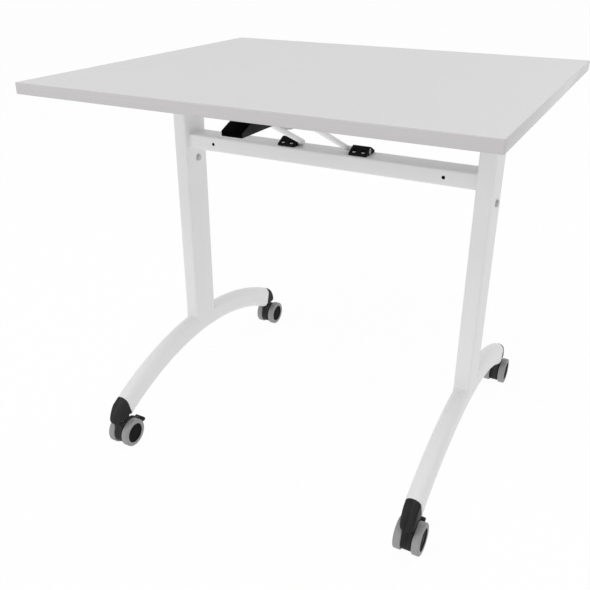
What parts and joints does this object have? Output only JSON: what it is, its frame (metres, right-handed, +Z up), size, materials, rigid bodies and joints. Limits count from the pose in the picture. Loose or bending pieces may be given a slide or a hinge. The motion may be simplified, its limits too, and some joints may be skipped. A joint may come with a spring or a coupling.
{
  "type": "flip top training table",
  "caption": "Training table whose rectangular top tips up on its legs' heads, braced by a bent tube stay with a squeeze latch, on arched feet with swivelling castors.",
  "frame": {"origin": "on the floor under the middle of the top", "axes": "+X along the crossbeam, to the right seen from the lever's side; +Y to the rear; +Z up"},
  "size_m": [0.8, 0.7, 0.74],
  "materials": {
    "melamine": "fine grained melamine face on board",
    "edging": "satin edge band",
    "coating": "light grey powder coat",
    "steel": "zinc plated",
    "plastic": "fine textured black nylon",
    "tyre": "matt grey tread"
  },
  "bodies": {
    "frame": {"crossbeam": "coating", "upright_left": "coating", "foot_left": "coating", "cross_bolt_left": "steel", "pivot_head_left": "plastic", "hinge_pin_left": "steel", "pillow_block_left": "plastic", "upright_right": "coating", "foot_right": "coating", "cross_bolt_right": "steel", "pivot_head_right": "plastic", "hinge_pin_right": "steel", "pillow_block_right": "plastic", "toe_cap_front_left": "plastic", "toe_cap_rear_left": "plastic", "toe_cap_front_right": "plastic", "toe_cap_rear_right": "plastic"},
    "top": {"tabletop_board": "melamine", "edge_band": "edging", "latch_bracket": "steel", "lever_pin": "steel", "hinge_bracket_left": "steel", "hinge_bracket_right": "steel"},
    "stay": {"stay": "coating"},
    "lever": {"release_lever": "plastic"},
    "castor_front_left": {"castor_body_front_left": "plastic", "castor_stem_front_left": "steel", "castor_axle_front_left": "steel"},
    "wheel_front_left_a": {"hub_front_left_a": "plastic", "tyre_front_left_a": "tyre"},
    "wheel_front_left_b": {"hub_front_left_b": "plastic", "tyre_front_left_b": "tyre"},
    "pedal_front_left": {"brake_pedal_front_left": "plastic"},
    "castor_rear_left": {"castor_body_rear_left": "plastic", "castor_stem_rear_left": "steel", "castor_axle_rear_left": "steel"},
    "wheel_rear_left_a": {"hub_rear_left_a": "plastic", "tyre_rear_left_a": "tyre"},
    "wheel_rear_left_b": {"hub_rear_left_b": "plastic", "tyre_rear_left_b": "tyre"},
    "castor_front_right": {"castor_body_front_right": "plastic", "castor_stem_front_right": "steel", "castor_axle_front_right": "steel"},
    "wheel_front_right_a": {"hub_front_right_a": "plastic", "tyre_front_right_a": "tyre"},
    "wheel_front_right_b": {"hub_front_right_b": "plastic", "tyre_front_right_b": "tyre"},
    "pedal_front_right": {"brake_pedal_front_right": "plastic"},
    "castor_rear_right": {"castor_body_rear_right": "plastic", "castor_stem_rear_right": "steel", "castor_axle_rear_right": "steel"},
    "wheel_rear_right_a": {"hub_rear_right_a": "plastic", "tyre_rear_right_a": "tyre"},
    "wheel_rear_right_b": {"hub_rear_right_b": "plastic", "tyre_rear_right_b": "tyre"}
  },
  "joints": [
    {"name": "top_flip", "type": "hinge", "parent": "frame", "child": "top", "pos_m": [0, 0.01, 0.69], "axis": [-1, 0, 0], "range_deg": [0, 90]},
    {"name": "stay_swing", "type": "hinge", "parent": "frame", "child": "stay", "pos_m": [0, 0, 0.6035], "axis": [-1, 0, 0], "range_deg": [0, 70.2]},
    {"name": "lever_squeeze", "type": "hinge", "parent": "top", "child": "lever", "pos_m": [0, -0.228, 0.702], "axis": [-1, 0, 0], "range_deg": [0, 10], "stiffness_Nm_per_rad": 0.4, "springref_deg": -8.59},
    {"name": "swivel_front_left", "type": "hinge", "parent": "frame", "child": "castor_front_left", "pos_m": [-0.311, -0.299, 0.06], "axis": [0, 0, 1], "continuous": true},
    {"name": "roll_front_left_a", "type": "hinge", "parent": "castor_front_left", "child": "wheel_front_left_a", "pos_m": [-0.3276, -0.284, 0.02875], "axis": [1, 0, 0], "continuous": true},
    {"name": "roll_front_left_b", "type": "hinge", "parent": "castor_front_left", "child": "wheel_front_left_b", "pos_m": [-0.2944, -0.284, 0.02875], "axis": [1, 0, 0], "continuous": true},
    {"name": "brake_front_left", "type": "hinge", "parent": "castor_front_left", "child": "pedal_front_left", "pos_m": [-0.311, -0.275, 0.0465], "axis": [-1, 0, 0], "range_deg": [0, 15]},
    {"name": "swivel_rear_left", "type": "hinge", "parent": "frame", "child": "castor_rear_left", "pos_m": [-0.311, 0.299, 0.06], "axis": [0, 0, 1], "continuous": true},
    {"name": "roll_rear_left_a", "type": "hinge", "parent": "castor_rear_left", "child": "wheel_rear_left_a", "pos_m": [-0.3276, 0.314, 0.02875], "axis": [1, 0, 0], "continuous": true},
    {"name": "roll_rear_left_b", "type": "hinge", "parent": "castor_rear_left", "child": "wheel_rear_left_b", "pos_m": [-0.2944, 0.314, 0.02875], "axis": [1, 0, 0], "continuous": true},
    {"name": "swivel_front_right", "type": "hinge", "parent": "frame", "child": "castor_front_right", "pos_m": [0.311, -0.299, 0.06], "axis": [0, 0, 1], "continuous": true},
    {"name": "roll_front_right_a", "type": "hinge", "parent": "castor_front_right", "child": "wheel_front_right_a", "pos_m": [0.2944, -0.284, 0.02875], "axis": [1, 0, 0], "continuous": true},
    {"name": "roll_front_right_b", "type": "hinge", "parent": "castor_front_right", "child": "wheel_front_right_b", "pos_m": [0.3276, -0.284, 0.02875], "axis": [1, 0, 0], "continuous": true},
    {"name": "brake_front_right", "type": "hinge", "parent": "castor_front_right", "child": "pedal_front_right", "pos_m": [0.311, -0.275, 0.0465], "axis": [-1, 0, 0], "range_deg": [0, 15]},
    {"name": "swivel_rear_right", "type": "hinge", "parent": "frame", "child": "castor_rear_right", "pos_m": [0.311, 0.299, 0.06], "axis": [0, 0, 1], "continuous": true},
    {"name": "roll_rear_right_a", "type": "hinge", "parent": "castor_rear_right", "child": "wheel_rear_right_a", "pos_m": [0.2944, 0.314, 0.02875], "axis": [1, 0, 0], "continuous": true},
    {"name": "roll_rear_right_b", "type": "hinge", "parent": "castor_rear_right", "child": "wheel_rear_right_b", "pos_m": [0.3276, 0.314, 0.02875], "axis": [1, 0, 0], "continuous": true}
  ],
  "couplings": [
    {"joint": "stay_swing", "follows": "top_flip", "ratio": 0.77889}
  ]
}
